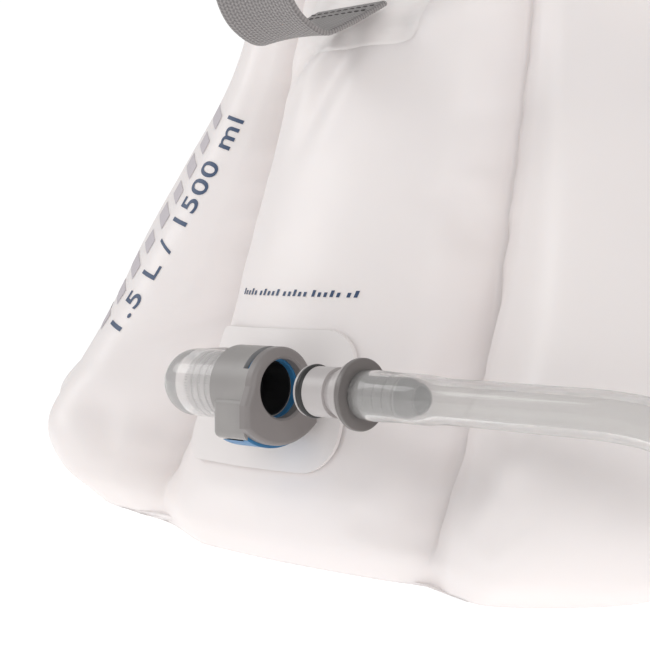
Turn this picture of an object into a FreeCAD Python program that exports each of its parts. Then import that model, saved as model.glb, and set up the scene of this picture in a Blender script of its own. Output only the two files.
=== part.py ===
import FreeCAD, Part
import Sketcher
import math
import os
import re

# Hydration bladder: a filled film bag that stands on its flattened base, with a quick
# connector on the front and the drinking hose drawn out of it.  Millimetres, +Z up,
# the front of the bag faces -Y, origin on the floor under the middle of the base.

V = FreeCAD.Vector
doc = FreeCAD.newDocument("hydration_bladder")
sheet = doc.addObject("Spreadsheet::Sheet", "Sizes")
aliases = []


def size_cell(alias, value):
    row = len(aliases) + 1
    sheet.set("A%d" % row, alias)
    sheet.set("B%d" % row, str(value))
    sheet.setAlias("B%d" % row, alias)
    aliases.append(alias)


DRIVING_SIZES = {
    # bag
    "bag_width": 230.0,
    "bag_depth": 76.0,
    "bag_height": 228.0,
    "film_wall": 0.6,
    "patch_wall": 1.0,
    "baffle_wall": 0.8,
    "baffle_low": 34.0,
    "baffle_top_drop": 32.0,
    "baffle_foot_reach": 46.5,
    "baffle_head_reach": 35.0,
    # connector axis and port
    "port_height": 44.0,
    "port_standoff": 14.5,
    "elbow_reach": 10.0,
    "sleeve_radius": 8.0,
    "sleeve_bore": 6.2,
    "port_patch_width": 56.0,
    "port_patch_height": 33.0,
    "port_patch_corner": 9.0,
    "port_patch_offset": 5.0,
    # socket, measured along its axis from the back of the collar
    "socket_start": 5.0,
    "socket_length": 14.6,
    "collar_radius": 9.4,
    "seal_bore": 6.1,
    "mouth_bore": 6.75,
    "mouth_chamfer": 0.5,
    "plate_front_wall": 2.7,
    "rim_fillet": 1.1,
    "housing_fillet": 1.6,
    "skirt_half_width": 11.0,
    "skirt_drop": 12.9,
    "skirt_side_drop": 8.4,
    "housing_drop": 11.3,
    "housing_half_width": 9.6,
    "latch_wall": 1.5,
    "latch_gap": 0.2,
    "latch_hole": 6.4,
    "latch_half_width": 8.3,
    "latch_travel": 1.1,
    "button_drop": 13.6,
    "button_wall": 2.0,
    # non-return valve
    "tail_length": 12.0,
    "tail_bore": 4.8,
    "barb_height": 0.45,
    "barb_pitch": 2.3,
    "seat_bore": 3.3,
    "seat_wall": 1.1,
    "poppet_radius": 4.1,
    "poppet_wall": 1.0,
    "poppet_stem": 1.2,
    "valve_seal_section": 0.5,
    "spring_wire": 0.25,
    # plug
    "plug_gap": 8.5,
    "plug_tip_radius": 5.7,
    "plug_barrel_radius": 5.55,
    "plug_groove_radius": 4.8,
    "plug_flange_radius": 7.85,
    "plug_ring_radius": 7.3,
    "plug_bore": 2.6,
    "plug_seal_section": 0.9,
    "plug_lip": 0.9,
    "plug_barrel_length": 6.1,
    "plug_groove_length": 1.8,
    "plug_hub_length": 2.8,
    "plug_flange_length": 2.6,
    "plug_barb_radius": 3.9,
    "plug_barb_length": 17.0,
    # hose
    "hose_radius": 4.75,
    "coil_radius": 53.5,
    "coil_centre_x": 222.0,
    "tie_width": 16.0,
    "tie_wall": 1.2,
    # bite valve
    "valve_axis_height": 9.2,
    "bite_start": 272.0,
    "bite_body_radius": 6.6,
    "bite_body_length": 30.0,
    "bite_bore": 2.8,
    "shutoff_radius": 9.0,
    "shutoff_length": 12.0,
    "sheath_radius": 8.6,
    "sheath_length": 32.0,
    # mouth
    "rail_height": 10.0,
    "rail_wall": 3.6,
    "rail_length": 152.0,
    "clip_wall": 1.6,
    "clip_gap": 0.3,
    "clip_lip": 2.2,
    # webbing
    "web_wall": 1.5,
    "hand_strap_width": 25.0,
    "strap_low": 136.0,
    "strap_high_drop": 25.0,
    "strap_reach": 36.0,
    "strap_patch_width": 40.0,
    "strap_patch_height": 20.0,
    "hang_loop_width": 20.0,
    "hang_loop_rise": 34.0,
    "hang_loop_root_drop": 32.0,
}
HEIGHTS_FROM_MOUTH = {
    "baffle_high": "=bag_height - baffle_top_drop",
    "strap_high": "=bag_height - strap_high_drop",
    "hang_loop_root": "=bag_height - hang_loop_root_drop",
    "hang_loop_height": "=bag_height + hang_loop_rise",
}
for driving_alias, driving_value in {**DRIVING_SIZES, **HEIGHTS_FROM_MOUTH}.items():
    size_cell(driving_alias, driving_value)
doc.recompute()


def size(alias):
    return float(sheet.get(alias))


def words(expression):
    """Puts the sheet's name in front of each of its words."""
    return re.sub(r"[a-z][a-z_]+", lambda m: "Sizes." + m.group() if m.group() in aliases else m.group(),
                  str(expression))


def value(expression):
    return float(sheet.evalExpression(words(expression)))


# ------------------------------------------------------------------ helpers

def bind(item, **expressions):
    for prop, expression in expressions.items():
        item.setExpression(prop.replace("__", "."), words(expression))


def place(item, x, y, z):
    bind(item, Placement__Base__x=x, Placement__Base__y=y, Placement__Base__z=z)


def box(name, x0, x1, y0, y1, z0, z1):
    item = doc.addObject("Part::Box", name)
    bind(item, Length="(%s) - (%s)" % (x1, x0), Width="(%s) - (%s)" % (y1, y0),
         Height="(%s) - (%s)" % (z1, z0))
    place(item, x0, y0, z0)
    return item


def rod_x(name, x0, x1, radius, y, z):
    """A cylinder along X."""
    item = doc.addObject("Part::Cylinder", name)
    item.Placement = FreeCAD.Placement(V(), FreeCAD.Rotation(V(0, 1, 0), 90))
    bind(item, Radius=radius, Height="(%s) - (%s)" % (x1, x0))
    place(item, x0, y, z)
    return item


def rod_y(name, y0, y1, radius, x, z):
    """A cylinder along Y."""
    item = doc.addObject("Part::Cylinder", name)
    item.Placement = FreeCAD.Placement(V(), FreeCAD.Rotation(V(1, 0, 0), -90))
    bind(item, Radius=radius, Height="(%s) - (%s)" % (y1, y0))
    place(item, x, y0, z)
    return item


def boolean(kind, name, base, tools):
    """A chain of cuts or commons, or one fuse of all the pieces."""
    if kind == "Part::MultiFuse":
        item = doc.addObject(kind, name)
        item.Shapes = [base] + tools
        return item
    result = base
    for number, tool in enumerate(tools):
        step = doc.addObject(kind, "%s_step%d" % (name, number))
        step.Base = result
        step.Tool = tool
        step.Refine = False
        result = step
    return result


def cut(name, base, *tools):
    return boolean("Part::Cut", name, base, list(tools))


def fuse(name, base, *tools):
    return boolean("Part::MultiFuse", name, base, list(tools))


def common(name, base, *tools):
    return boolean("Part::Common", name, base, list(tools))


def solid(name, shape):
    item = doc.addObject("Part::Feature", name)
    item.Shape = shape
    item.Placement = shape.Placement
    return item


def turned_body(name, profile, x, y, z):
    """A PartDesign body turned about an axis along X.

    profile lists (station, radius) corners as expressions in the sheet's words.
    """
    body = doc.addObject("PartDesign::Body", name)
    sketch = body.newObject("Sketcher::SketchObject", name + "_profile")
    plane = [f for f in body.Origin.OriginFeatures if f.Role == "XZ_Plane"][0]
    sketch.AttachmentSupport = (plane, [""])
    sketch.MapMode = "FlatFace"
    corners = [(value(a), value(r)) for a, r in profile]
    count = len(corners)
    for i, (a, r) in enumerate(corners):
        b, q = corners[(i + 1) % count]
        sketch.addGeometry(Part.LineSegment(V(a, r, 0), V(b, q, 0)), False)
    for i in range(count):
        sketch.addConstraint(Sketcher.Constraint("Coincident", i, 2, (i + 1) % count, 1))
    for i, (station, radius) in enumerate(profile):
        a, r = corners[i]
        for kind, word, now in (("DistanceX", station, a), ("DistanceY", radius, r)):
            index = sketch.addConstraint(Sketcher.Constraint(kind, -1, 1, i, 1, now))
            sketch.setExpression("Constraints[%d]" % index, words(word))
    turn = body.newObject("PartDesign::Revolution", name + "_turned")
    turn.Profile = sketch
    turn.ReferenceAxis = (sketch, ["H_Axis"])
    turn.Angle = 360.0
    body.Tip = turn
    place(body, x, y, z)
    return body


nodes = {}


def keep(name, item):
    item.Label = name
    nodes[name] = item
    return item


# ------------------------------------------------------------------ bag

# Level sections of the filled bag, drawn for a bag 230 wide, 76 deep and 228 high and stretched
# to the sheet's sizes: height, half width, then the y of the side seam, the middle of the front,
# the weld line of the baffle, the lobe beside it and the back, and the x of the weld line.
DRAWN_WIDTH = 230.0
DRAWN_DEPTH = 76.0
DRAWN_HEIGHT = 228.0
STATIONS = [
    (0.0, 88.0, 2.0, -24.5, -21.5, -27.0, 32.0, 46.0),
    (8.0, 104.0, -1.0, -30.5, -24.0, -34.0, 36.5, 47.0),
    (22.0, 115.0, -4.0, -31.5, -17.0, -33.0, 38.0, 46.5),
    (44.0, 110.5, 3.0, -27.0, -5.0, -22.5, 38.0, 44.5),
    (67.0, 103.0, 11.0, -19.5, 3.0, -10.0, 38.0, 43.0),
    (100.0, 88.0, 22.0, -8.5, 12.0, 5.0, 38.0, 41.0),
    (130.0, 74.0, 30.0, 0.5, 19.0, 16.5, 38.0, 39.5),
    (160.0, 69.0, 33.5, 10.0, 25.0, 24.0, 38.0, 38.0),
    (190.0, 71.0, 34.0, 20.5, 29.5, 29.0, 38.0, 36.0),
    (210.0, 74.0, 34.5, 29.5, 32.0, 31.8, 37.4, 35.0),
    (220.0, 75.0, 34.5, 33.0, 33.0, 33.0, 36.0, 34.0),
    (228.0, 75.0, 34.5, 33.0, 33.0, 33.0, 36.0, 34.0),
]
WIDTH_SCALE = size("bag_width") / DRAWN_WIDTH
DEPTH_SCALE = size("bag_depth") / DRAWN_DEPTH
HEIGHT_SCALE = size("bag_height") / DRAWN_HEIGHT


def station_points(station):
    """The corners of one level section, all round, starting at the middle of the back."""
    z, half, side, centre, valley, lobe, back, weld = station
    right = [
        (0.55 * half, back),
        (0.88 * half, 0.75 * back + 0.25 * side),
        (half, side),
        (0.93 * half, 0.45 * side + 0.55 * lobe),
        (0.5 * (weld + half), lobe),
        (weld + 0.22 * (half - weld), 0.65 * lobe + 0.35 * valley),
        (weld, valley),
        (0.72 * weld, 0.45 * valley + 0.55 * centre),
        (0.38 * weld, 0.1 * valley + 0.9 * centre),
    ]
    left = [(-x, y) for x, y in reversed(right)]
    outline = [(0.0, back)] + right + [(0.0, centre)] + left
    return [V(x * WIDTH_SCALE, y * DEPTH_SCALE, z * HEIGHT_SCALE) for x, y in outline]


def section_wire(station, outset, level):
    """A level section moved out by outset and set at the height level."""
    curve = Part.BSplineCurve()
    points = station_points(station)
    curve.interpolate(Points=points, PeriodicFlag=True)
    moved = []
    for point in points:
        along = curve.tangent(curve.parameter(point))[0]
        moved.append(V(point.x - along.y * outset, point.y + along.x * outset, level))
    offset_curve = Part.BSplineCurve()
    offset_curve.interpolate(Points=moved, PeriodicFlag=True)
    return Part.Wire([offset_curve.toShape()])


def bag_solid(outset, floor, top):
    """The whole bag, its surface moved out by outset, from the height floor to top."""
    wires = []
    for station in STATIONS:
        level = station[0] * HEIGHT_SCALE
        if station is STATIONS[0]:
            level = floor
        if station is STATIONS[-1]:
            level = top
        wires.append(section_wire(station, outset, level))
    return Part.makeLoft(wires, True, False)


def skin_at(height, front, reach=0.0):
    """The y of the bag's front or back skin at a height, beside x = reach."""
    probe = Part.makeLine(V(reach, -bag_span, height), V(reach, bag_span, height))
    hits = [vertex.Y for vertex in probe.common(bag_outside).Vertexes]
    return min(hits) if front else max(hits)


bag_span = 2 * size("bag_width")
bag_outside = bag_solid(0.0, 0.0, size("bag_height"))
bag_inside = bag_solid(-size("film_wall"), size("film_wall"), size("bag_height") + 1.0)
bag_patched = bag_solid(size("patch_wall"), -1.0, size("bag_height"))

size_cell("port_front", skin_at(size("port_height"), True))
size_cell("low_front", skin_at(size("strap_low"), True))
size_cell("high_front", skin_at(size("strap_high"), True))
size_cell("loop_back", skin_at(size("hang_loop_root"), False))
size_cell("mouth_front", skin_at(size("bag_height") - 0.1, True))
size_cell("mouth_back", skin_at(size("bag_height") - 0.1, False))
doc.recompute()

AXIS_Y = "(port_front - port_standoff)"
AXIS_Z = "port_height"
SOCKET_FACE = "(socket_start + socket_length)"
PLATE_BACK = "(socket_start + socket_length - plate_front_wall)"
LATCH_BACK = "(socket_start + socket_length - plate_front_wall - latch_wall - 2 * latch_gap)"

outside_item = solid("bag_outside", bag_outside)
inside_item = solid("bag_inside", bag_inside)
patched_item = solid("bag_patched", bag_patched)
patch_shell = cut("patch_shell", patched_item, outside_item)


def slab_across(name, corners):
    """A slab right across the bag along X, from an outline of (y, z) corners."""
    outline = [V(-bag_span, y, z) for y, z in corners]
    face = Part.Face(Part.makePolygon(outline + outline[:1]))
    return solid(name, face.extrude(V(2 * bag_span, 0, 0)))


# The films part along the side seams; the front film also wraps under the base.
FRONT_FOOT = 4.0
seam_line = [(size("bag_depth"), FRONT_FOOT)]
seam_line += [(s[2] * DEPTH_SCALE, s[0] * HEIGHT_SCALE) for s in STATIONS[2:-1]]
seam_line += [(seam_line[-1][0], 2 * bag_span)]
front_side = slab_across("front_side", [(-bag_span, -10.0), (size("bag_depth"), -10.0)] + seam_line
                         + [(-bag_span, 2 * bag_span)])
rear_side = slab_across("rear_side", seam_line + [(bag_span, 2 * bag_span), (bag_span, FRONT_FOOT)])
port_hole = rod_y("port_hole", "port_front - port_standoff", "port_front + 6", "sleeve_bore",
                  "-elbow_reach", AXIS_Z)
keep("front_film", cut("front_film", common("front_half", outside_item, front_side), inside_item,
                       port_hole))
keep("rear_film", cut("rear_film", common("rear_half", outside_item, rear_side), inside_item))


# The two baffles tie the front film to the rear film along the weld lines.
def baffle(name, side):
    foot = side * size("baffle_foot_reach") * WIDTH_SCALE
    head = side * size("baffle_head_reach") * WIDTH_SCALE
    wall = size("baffle_wall")
    low = size("baffle_low")
    high = size("baffle_high")
    outline = [V(foot - wall / 2, -bag_span, low), V(foot + wall / 2, -bag_span, low),
               V(head + wall / 2, -bag_span, high), V(head - wall / 2, -bag_span, high)]
    face = Part.Face(Part.makePolygon(outline + outline[:1]))
    slab = solid(name + "_slab", face.extrude(V(0, 2 * bag_span, 0)))
    return common(name, inside_item, slab)


keep("baffle_left", baffle("baffle_left", -1))
keep("baffle_right", baffle("baffle_right", 1))


# ------------------------------------------------------------------ welded patches and port

BETWEEN_FILMS = 0.44


def rounded_patch(name, width, height, corner, x, z, front):
    """A patch of the outer skin with rounded corners, welded on the front or the back."""
    block = Part.makeBox(width, bag_span, height, V(x - width / 2, 0, z - height / 2))
    edges = [e for e in block.Edges if abs(e.BoundBox.YLength - bag_span) < 0.01]
    block = block.makeFillet(corner, edges)
    block.translate(V(0, BETWEEN_FILMS * size("bag_depth") - (bag_span if front else 0), 0))
    return common(name, patch_shell, solid(name + "_block", block))


port_flange = rounded_patch("port_flange", size("port_patch_width"), size("port_patch_height"),
                            size("port_patch_corner"), size("port_patch_offset") - size("elbow_reach"),
                            size("port_height") - 4.0, True)
elbow_dome = doc.addObject("Part::Sphere", "elbow_dome")
bind(elbow_dome, Radius="sleeve_radius")
place(elbow_dome, "-elbow_reach", AXIS_Y, AXIS_Z)
elbow_sleeve = rod_x("elbow_sleeve", "-elbow_reach", "socket_start", "sleeve_radius", AXIS_Y, AXIS_Z)
elbow_stem = rod_y("elbow_stem", AXIS_Y, "port_front + 4", "sleeve_radius", "-elbow_reach", AXIS_Z)
elbow_outer = cut("elbow_outer", fuse("elbow_form", elbow_dome, elbow_sleeve, elbow_stem), outside_item)
elbow_bore = rod_x("elbow_bore", "-elbow_reach", "socket_start + 1", "sleeve_bore", AXIS_Y, AXIS_Z)
stem_bore = rod_y("stem_bore", AXIS_Y, "port_front + 6", "tail_bore", "-elbow_reach", AXIS_Z)
keep("port_elbow", cut("port_elbow", fuse("elbow_joined", elbow_outer, port_flange),
                       elbow_bore, stem_bore))


# ------------------------------------------------------------------ socket

def socket_front_outline():
    """The socket's front plate: round over the top, straight sides, a shallow curved foot."""
    radius = size("collar_radius")
    half = size("skirt_half_width")
    side = -size("skirt_side_drop")
    shoulder = -0.35 * radius
    level = V(size("socket_start") + size("socket_length") - size("plate_front_wall"),
              size("port_front") - size("port_standoff"), size("port_height"))
    right_top = V(0, math.sqrt(radius ** 2 - (0.1 * radius) ** 2), 0.1 * radius)
    left_top = V(0, -right_top.y, right_top.z)
    edges = [
        Part.Arc(left_top, V(0, 0, radius), right_top).toShape(),
        Part.makeLine(right_top, V(0, half, shoulder)),
        Part.makeLine(V(0, half, shoulder), V(0, half, side)),
        Part.Arc(V(0, half, side), V(0, 0, -size("skirt_drop")), V(0, -half, side)).toShape(),
        Part.makeLine(V(0, -half, side), V(0, -half, shoulder)),
        Part.makeLine(V(0, -half, shoulder), left_top),
    ]
    plate = Part.Face(Part.Wire(edges)).extrude(V(size("plate_front_wall"), 0, 0))
    rim = [e for e in plate.Edges if e.BoundBox.XMin > size("plate_front_wall") - 0.01]
    plate = plate.makeFillet(size("rim_fillet"), rim)
    plate.translate(level)
    return plate


front_plate = solid("front_plate", socket_front_outline())
collar = rod_x("collar", "socket_start", PLATE_BACK, "collar_radius", AXIS_Y, AXIS_Z)
housing_block = box("housing_block", "socket_start + 1", PLATE_BACK,
                    AXIS_Y + " - housing_half_width", AXIS_Y + " + housing_half_width",
                    AXIS_Z + " - housing_drop", AXIS_Z + " - 2")
doc.recompute()
housing = doc.addObject("Part::Fillet", "housing")
housing.Base = housing_block
housing.Edges = [(number + 1, size("housing_fillet"), size("housing_fillet"))
                 for number, edge in enumerate(housing_block.Shape.Edges)
                 if edge.BoundBox.XLength > 1 or edge.BoundBox.XMax < value("socket_start + 1.01")]
seal_bore_hole = rod_x("seal_bore_hole", "socket_start + 1", PLATE_BACK, "seal_bore", AXIS_Y, AXIS_Z)
back_hole = rod_x("back_hole", "socket_start - 1", "socket_start + 2", "tail_bore", AXIS_Y, AXIS_Z)
mouth_hole = rod_x("mouth_hole", PLATE_BACK, SOCKET_FACE + " + 1", "mouth_bore", AXIS_Y, AXIS_Z)
mouth_cone = doc.addObject("Part::Cone", "mouth_cone")
mouth_cone.Placement = FreeCAD.Placement(V(), FreeCAD.Rotation(V(0, 1, 0), 90))
bind(mouth_cone, Radius1="mouth_bore", Radius2="mouth_bore + mouth_chamfer", Height="mouth_chamfer")
place(mouth_cone, SOCKET_FACE + " - mouth_chamfer", AXIS_Y, AXIS_Z)
slot_round = rod_x("slot_round", LATCH_BACK, PLATE_BACK, "latch_half_width + latch_gap", AXIS_Y, AXIS_Z)
slot_lifted = rod_x("slot_lifted", LATCH_BACK, PLATE_BACK, "latch_half_width + latch_gap", AXIS_Y,
                    AXIS_Z + " + latch_travel + latch_gap")
slot_foot = box("slot_foot", LATCH_BACK, PLATE_BACK,
                AXIS_Y + " - latch_half_width - latch_gap", AXIS_Y + " + latch_half_width + latch_gap",
                AXIS_Z + " - skirt_drop", AXIS_Z + " + latch_travel + latch_gap")
slot_window = box("slot_window", LATCH_BACK, PLATE_BACK,
                  AXIS_Y + " - collar_radius - 1", AXIS_Y + " + collar_radius + 1",
                  AXIS_Z + " + collar_radius / 2", AXIS_Z + " + collar_radius + 1")
button_pocket = box("button_pocket", "socket_start + 2.5", PLATE_BACK,
                    AXIS_Y + " - latch_half_width - latch_gap", AXIS_Y + " + latch_half_width + latch_gap",
                    AXIS_Z + " - skirt_drop", AXIS_Z + " - seal_bore - 1.4")
socket_form = fuse("socket_form", front_plate, collar, housing)
keep("socket_body", cut("socket_body", socket_form, seal_bore_hole, back_hole, mouth_hole, mouth_cone,
                        slot_round, slot_lifted, slot_foot, slot_window, button_pocket))

latch_rear = LATCH_BACK + " + latch_gap"
latch_fore = PLATE_BACK + " - latch_gap"
latch_ring = rod_x("latch_ring", latch_rear, latch_fore, "latch_half_width", AXIS_Y, AXIS_Z)
latch_stem = box("latch_stem", latch_rear, latch_fore,
                 AXIS_Y + " - latch_half_width", AXIS_Y + " + latch_half_width",
                 AXIS_Z + " - button_drop", AXIS_Z)
button_head = box("button_head", "socket_start + 2.8", latch_fore,
                  AXIS_Y + " - latch_half_width", AXIS_Y + " + latch_half_width",
                  AXIS_Z + " - button_drop", AXIS_Z + " - button_drop + button_wall")
button_curve = rod_x("button_curve", "socket_start", SOCKET_FACE,
                     "(latch_half_width ^ 2 + 4.5 ^ 2) / (2 * 4.5) + button_drop / 2", AXIS_Y,
                     AXIS_Z + " + (latch_half_width ^ 2 + 4.5 ^ 2) / (2 * 4.5) - button_drop / 2")
latch_hole_rod = rod_x("latch_hole_rod", LATCH_BACK, PLATE_BACK, "latch_hole", AXIS_Y,
                       AXIS_Z + " - latch_gap")
latch_form = fuse("latch_form", latch_ring, latch_stem, button_head)
keep("latch_plate", cut("latch_plate", common("latch_curved", latch_form, button_curve), latch_hole_rod))


def spring(name, radius, pitch, height, wire, turn, x, y, z):
    """A helical spring of round wire, its axis turned from +Z by the rotation."""
    helix = doc.addObject("Part::Helix", name + "_helix")
    bind(helix, Radius=radius, Pitch=pitch, Height=height)
    section = doc.addObject("Part::Circle", name + "_section")
    section.Placement = FreeCAD.Placement(V(), FreeCAD.Rotation(V(1, 0, 0), 90))
    bind(section, Radius=wire)
    place(section, radius, "0", "0")
    coil = doc.addObject("Part::Sweep", name)
    coil.Sections = [section]
    coil.Spine = (helix, ["Edge1"])
    coil.Solid = True
    coil.Frenet = True
    coil.Placement = FreeCAD.Placement(V(), turn)
    place(coil, x, y, z)
    return coil


keep("latch_spring", spring("latch_spring", "1.5", "0.62",
                            "button_drop - button_wall - seal_bore - 1.4 - 3 * spring_wire", "spring_wire",
                            FreeCAD.Rotation(), "(socket_start + " + LATCH_BACK + ") / 2", AXIS_Y,
                            AXIS_Z + " - button_drop + button_wall + 1.5 * spring_wire"))

# ------------------------------------------------------------------ tail, valve

BARB_COUNT = 4
tail_profile = [("0", "tail_bore"), ("0", "sleeve_bore")]
for number in range(BARB_COUNT):
    root = "1 + %d * barb_pitch" % number
    tail_profile.append((root, "sleeve_bore"))
    tail_profile.append((root + " + 0.7 * barb_pitch", "sleeve_bore + barb_height"))
    tail_profile.append((root + " + 0.8 * barb_pitch", "sleeve_bore"))
tail_profile += [("tail_length", "sleeve_bore"), ("tail_length", "seat_bore"),
                 ("tail_length - seat_wall", "seat_bore"), ("tail_length - seat_wall", "tail_bore")]
keep("socket_tail", turned_body("socket_tail", tail_profile, "socket_start - tail_length", AXIS_Y, AXIS_Z))

POPPET_FACE = "(socket_start - seat_wall - 2 * valve_seal_section)"
poppet_turned = turned_body("poppet_turned", [
    ("0", "0"), ("0", "1.8"), ("1", "1.8"), ("1", "poppet_radius"),
    ("1 + poppet_wall", "poppet_radius"), ("1 + poppet_wall", "poppet_stem"),
    ("4.9 + poppet_wall", "poppet_stem"), ("4.9 + poppet_wall", "0"),
], POPPET_FACE + " - 1 - poppet_wall", AXIS_Y, AXIS_Z)
cross_reach = "(seat_bore - 0.25)"
cross_one = box("cross_one", POPPET_FACE + " + 2.2", POPPET_FACE + " + 2.9",
                AXIS_Y + " - " + cross_reach, AXIS_Y + " + " + cross_reach,
                AXIS_Z + " - 0.5", AXIS_Z + " + 0.5")
cross_two = box("cross_two", POPPET_FACE + " + 2.2", POPPET_FACE + " + 2.9",
                AXIS_Y + " - 0.5", AXIS_Y + " + 0.5",
                AXIS_Z + " - " + cross_reach, AXIS_Z + " + " + cross_reach)
poppet_nose = box("poppet_nose", POPPET_FACE + " + 2.9", POPPET_FACE + " + 8",
                  AXIS_Y + " - 3", AXIS_Y + " + 3", AXIS_Z + " - 3", AXIS_Z + " + 3")
keep("valve_poppet", cut("valve_poppet", fuse("poppet_form", poppet_turned, cross_one, cross_two),
                         poppet_nose))


def ring_x(name, radius, section, x, y, z):
    item = doc.addObject("Part::Torus", name)
    item.Placement = FreeCAD.Placement(V(), FreeCAD.Rotation(V(0, 1, 0), 90))
    bind(item, Radius1=radius, Radius2=section)
    place(item, x, y, z)
    return item


keep("valve_seal", ring_x("valve_seal", "poppet_radius - valve_seal_section", "valve_seal_section - 0.02",
                          POPPET_FACE + " + valve_seal_section", AXIS_Y, AXIS_Z))
RETAINER_START = "(socket_start - tail_length + 0.5)"
retainer_disc = rod_x("retainer_disc", RETAINER_START, RETAINER_START + " + 1.2", "tail_bore",
                      AXIS_Y, AXIS_Z)
flow_holes = []
for number in range(4):
    turn = number * math.pi / 2
    flow_holes.append(rod_x("flow_hole_%d" % number, RETAINER_START + " - 1", RETAINER_START + " + 2", "1.2",
                            AXIS_Y + " + 2.9 * %d" % round(math.cos(turn)),
                            AXIS_Z + " + 2.9 * %d" % round(math.sin(turn))))
keep("spring_retainer", cut("spring_retainer", retainer_disc, *flow_holes))
VALVE_SPRING_ROOM = "(tail_length - seat_wall - 2 * valve_seal_section - poppet_wall - 0.5 - 1.2)"
keep("valve_spring", spring("valve_spring", "2.4", VALVE_SPRING_ROOM + " / 6",
                            VALVE_SPRING_ROOM + " - 3 * spring_wire", "spring_wire",
                            FreeCAD.Rotation(V(0, 1, 0), 90), RETAINER_START + " + 1.2 + 1.5 * spring_wire",
                            AXIS_Y, AXIS_Z))

# ------------------------------------------------------------------ plug

PLUG_TIP = "(socket_start + socket_length + plug_gap)"
GLAND_END = "(plug_lip + 2 * plug_seal_section + 0.1)"
GROOVE_START = "(plug_lip + 2 * plug_seal_section + 0.1 + plug_barrel_length)"
FLANGE_START = "(%s + plug_groove_length + plug_hub_length)" % GROOVE_START
FLANGE_END = "(%s + plug_flange_length)" % FLANGE_START
PLUG_BARBS = 5
plug_profile = [
    ("0", "plug_bore"), ("0", "plug_tip_radius - 0.4"), ("0.4", "plug_tip_radius"),
    ("plug_lip", "plug_tip_radius"), ("plug_lip", "plug_barrel_radius - 1.35"),
    (GLAND_END, "plug_barrel_radius - 1.35"), (GLAND_END, "plug_barrel_radius"),
    (GROOVE_START, "plug_barrel_radius"), (GROOVE_START, "plug_groove_radius"),
    (GROOVE_START + " + plug_groove_length", "plug_groove_radius"),
    (GROOVE_START + " + plug_groove_length", "plug_barrel_radius"),
    (FLANGE_START, "plug_barrel_radius"), (FLANGE_START, "plug_ring_radius - 0.3"),
    (FLANGE_START + " + 0.3", "plug_ring_radius"), (FLANGE_START + " + 0.7", "plug_ring_radius"),
    (FLANGE_START + " + 1", "plug_ring_radius - 0.2"), (FLANGE_START + " + 1.5", "plug_flange_radius"),
    (FLANGE_END + " - 0.2", "plug_flange_radius"), (FLANGE_END, "plug_flange_radius - 0.2"),
    (FLANGE_END, "plug_barb_radius"),
]
for number in range(PLUG_BARBS):
    root = FLANGE_END + " + %.1f" % (1.0 + 2.6 * number)
    plug_profile.append((root, "plug_barb_radius"))
    plug_profile.append((root + " + 0.3", "plug_barb_radius + barb_height"))
    plug_profile.append((root + " + 2.5", "plug_barb_radius"))
plug_profile += [(FLANGE_END + " + plug_barb_length", "plug_bore + 0.5"),
                 (FLANGE_END + " + plug_barb_length", "plug_bore")]
keep("plug_body", turned_body("plug_body", plug_profile, PLUG_TIP, AXIS_Y, AXIS_Z))
keep("plug_o_ring", ring_x("plug_o_ring", "plug_barrel_radius - 1.35 + plug_seal_section",
                           "plug_seal_section", PLUG_TIP + " + plug_lip + plug_seal_section + 0.05",
                           AXIS_Y, AXIS_Z))

# ------------------------------------------------------------------ hose


def rounded_path(name, points):
    """Straight runs joined by tangent arcs, each as large as its two runs allow."""
    edges = []
    start = points[0]
    for before, corner, after in zip(points, points[1:], points[2:]):
        back = (before - corner)
        ahead = (after - corner)
        half_turn = (math.pi - back.getAngle(ahead)) / 2
        cut_back = 0.45 * min(back.Length, ahead.Length)
        radius = cut_back / math.tan(half_turn)
        print("%s: radius %.0f mm, turn %.0f degrees" % (name, radius, math.degrees(2 * half_turn)))
        enter = corner + back.normalize() * cut_back
        leave = corner + ahead.normalize() * cut_back
        inward = (enter + leave) * 0.5 - corner
        to_centre = radius / math.cos(half_turn)
        middle = corner + inward.normalize() * (to_centre - radius)
        edges.append(Part.makeLine(start, enter))
        edges.append(Part.Arc(enter, middle, leave).toShape())
        start = leave
    edges.append(Part.makeLine(start, points[-1]))
    return Part.Wire(edges)


def hose_run(name, points):
    path = rounded_path(name, points)
    radius = size("hose_radius")
    direction = points[1] - points[0]
    profile = Part.Wire([Part.makeCircle(radius, points[0], direction)])
    shape = path.makePipeShell([profile], True, True)
    expected = math.pi * radius ** 2 * path.Length
    print("%s: length %.1f mm, volume %.4f of its section times its length"
          % (name, path.Length, shape.Volume / expected))
    return solid(name, shape)


axis_y = value(AXIS_Y)
axis_z = value(AXIS_Z)
hose_start = value(PLUG_TIP + " + " + FLANGE_END) + 0.2
lift = size("tie_wall")
coil_x = size("coil_centre_x")
coil_top_z = lift + 3 * size("hose_radius")
HOSE_ROUTE = [
    V(hose_start, axis_y, axis_z),
    V(84.0, axis_y + 0.4, 43.2),
    V(122.0, axis_y - 0.5, 41.8),
    V(157.0, axis_y + 0.3, 26.6),
    V(194.0, axis_y - 0.1, 6.2),
    V(coil_x, axis_y, lift + size("hose_radius")),
]
keep("hose_tube", hose_run("hose_tube", HOSE_ROUTE))
TAIL_ROUTE = [
    V(coil_x, axis_y, coil_top_z),
    V(coil_x + 26.0, axis_y - 0.6, coil_top_z - 1.6),
    V(size("bite_start"), axis_y, size("valve_axis_height")),
]
keep("hose_tail", hose_run("hose_tail", TAIL_ROUTE))
COIL_Y = "(port_front - port_standoff + coil_radius)"
coil_outer = doc.addObject("Part::Cylinder", "coil_outer")
bind(coil_outer, Radius="coil_radius + hose_radius", Height="4 * hose_radius")
place(coil_outer, "coil_centre_x", COIL_Y, "tie_wall")
coil_inner = doc.addObject("Part::Cylinder", "coil_inner")
bind(coil_inner, Radius="coil_radius - hose_radius", Height="4 * hose_radius")
place(coil_inner, "coil_centre_x", COIL_Y, "tie_wall")
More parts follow.
